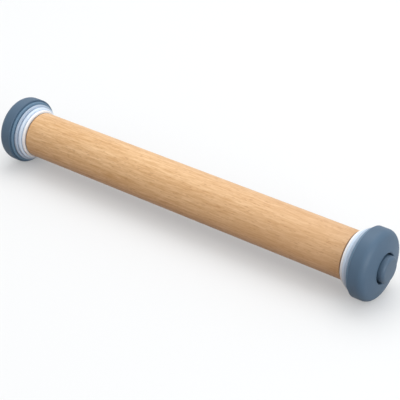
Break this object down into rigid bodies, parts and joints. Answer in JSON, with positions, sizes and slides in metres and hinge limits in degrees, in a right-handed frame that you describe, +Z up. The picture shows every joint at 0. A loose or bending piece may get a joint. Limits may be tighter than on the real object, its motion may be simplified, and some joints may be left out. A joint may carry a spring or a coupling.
{
  "type": "adjustable rolling pin",
  "caption": "Wooden rolling pin with a stack of stepped height discs on each end, clamped by a knob that unscrews so that the discs slide off.",
  "frame": {"origin": "middle of the roller, on its axis", "axes": "+X along the roller towards its right end, +Z up; the end discs touch the floor at Z = -32.5 mm"},
  "size_m": [0.4376, 0.065, 0.065],
  "materials": {
    "beech": "smooth oiled",
    "white_plastic": "fine matte",
    "pale_blue_plastic": "fine matte",
    "light_blue_plastic": "fine matte",
    "mid_blue_plastic": "fine matte",
    "dark_blue_plastic": "fine matte",
    "knob_plastic": "fine matte",
    "bush_plastic": "natural nylon",
    "washer_rubber": "soft silicone",
    "brass": "turned",
    "stud_steel": "zinc plated"
  },
  "bodies": {
    "roller": {"roller": "beech", "right_bush": "bush_plastic", "right_insert": "brass", "left_bush": "bush_plastic", "left_insert": "brass"},
    "right_disc_2mm": {"right_disc_2mm": "white_plastic"},
    "right_disc_4mm": {"right_disc_4mm": "pale_blue_plastic"},
    "right_disc_6mm": {"right_disc_6mm": "light_blue_plastic"},
    "right_disc_8mm": {"right_disc_8mm": "mid_blue_plastic"},
    "right_disc_10mm": {"right_disc_10mm": "dark_blue_plastic"},
    "right_washer": {"right_washer": "washer_rubber"},
    "right_knob": {"right_knob": "knob_plastic", "right_stud": "stud_steel"},
    "left_disc_2mm": {"left_disc_2mm": "white_plastic"},
    "left_disc_4mm": {"left_disc_4mm": "pale_blue_plastic"},
    "left_disc_6mm": {"left_disc_6mm": "light_blue_plastic"},
    "left_disc_8mm": {"left_disc_8mm": "mid_blue_plastic"},
    "left_disc_10mm": {"left_disc_10mm": "dark_blue_plastic"},
    "left_washer": {"left_washer": "washer_rubber"},
    "left_knob": {"left_knob": "knob_plastic", "left_stud": "stud_steel"}
  },
  "joints": [
    {"name": "right_disc_2mm_pull", "type": "slide", "parent": "roller", "child": "right_disc_2mm", "axis": [1, 0, 0], "range_m": [0, 0.053]},
    {"name": "right_disc_4mm_pull", "type": "slide", "parent": "right_disc_2mm", "child": "right_disc_4mm", "axis": [1, 0, 0], "range_m": [0, 0.053]},
    {"name": "right_disc_6mm_pull", "type": "slide", "parent": "right_disc_4mm", "child": "right_disc_6mm", "axis": [1, 0, 0], "range_m": [0, 0.053]},
    {"name": "right_disc_8mm_pull", "type": "slide", "parent": "right_disc_6mm", "child": "right_disc_8mm", "axis": [1, 0, 0], "range_m": [0, 0.053]},
    {"name": "right_disc_10mm_pull", "type": "slide", "parent": "right_disc_8mm", "child": "right_disc_10mm", "axis": [1, 0, 0], "range_m": [0, 0.053]},
    {"name": "right_knob_travel", "type": "slide", "parent": "right_disc_10mm", "child": "right_washer", "axis": [1, 0, 0], "range_m": [0, 0.015]},
    {"name": "right_knob_turn", "type": "hinge", "parent": "right_washer", "child": "right_knob", "pos_m": [0.2188, 0, 0], "axis": [1, 0, 0], "range_deg": [0, 1800]},
    {"name": "left_disc_2mm_pull", "type": "slide", "parent": "roller", "child": "left_disc_2mm", "axis": [-1, 0, 0], "range_m": [0, 0.053]},
    {"name": "left_disc_4mm_pull", "type": "slide", "parent": "left_disc_2mm", "child": "left_disc_4mm", "axis": [-1, 0, 0], "range_m": [0, 0.053]},
    {"name": "left_disc_6mm_pull", "type": "slide", "parent": "left_disc_4mm", "child": "left_disc_6mm", "axis": [-1, 0, 0], "range_m": [0, 0.053]},
    {"name": "left_disc_8mm_pull", "type": "slide", "parent": "left_disc_6mm", "child": "left_disc_8mm", "axis": [-1, 0, 0], "range_m": [0, 0.053]},
    {"name": "left_disc_10mm_pull", "type": "slide", "parent": "left_disc_8mm", "child": "left_disc_10mm", "axis": [-1, 0, 0], "range_m": [0, 0.053]},
    {"name": "left_knob_travel", "type": "slide", "parent": "left_disc_10mm", "child": "left_washer", "axis": [-1, 0, 0], "range_m": [0, 0.015]},
    {"name": "left_knob_turn", "type": "hinge", "parent": "left_washer", "child": "left_knob", "pos_m": [-0.2188, 0, 0], "axis": [-1, 0, 0], "range_deg": [0, 1800]}
  ],
  "couplings": [
    {"joint": "right_knob_turn", "follows": "right_knob_travel", "rad_per_m": 2094.4},
    {"joint": "left_knob_turn", "follows": "left_knob_travel", "rad_per_m": 2094.4}
  ]
}
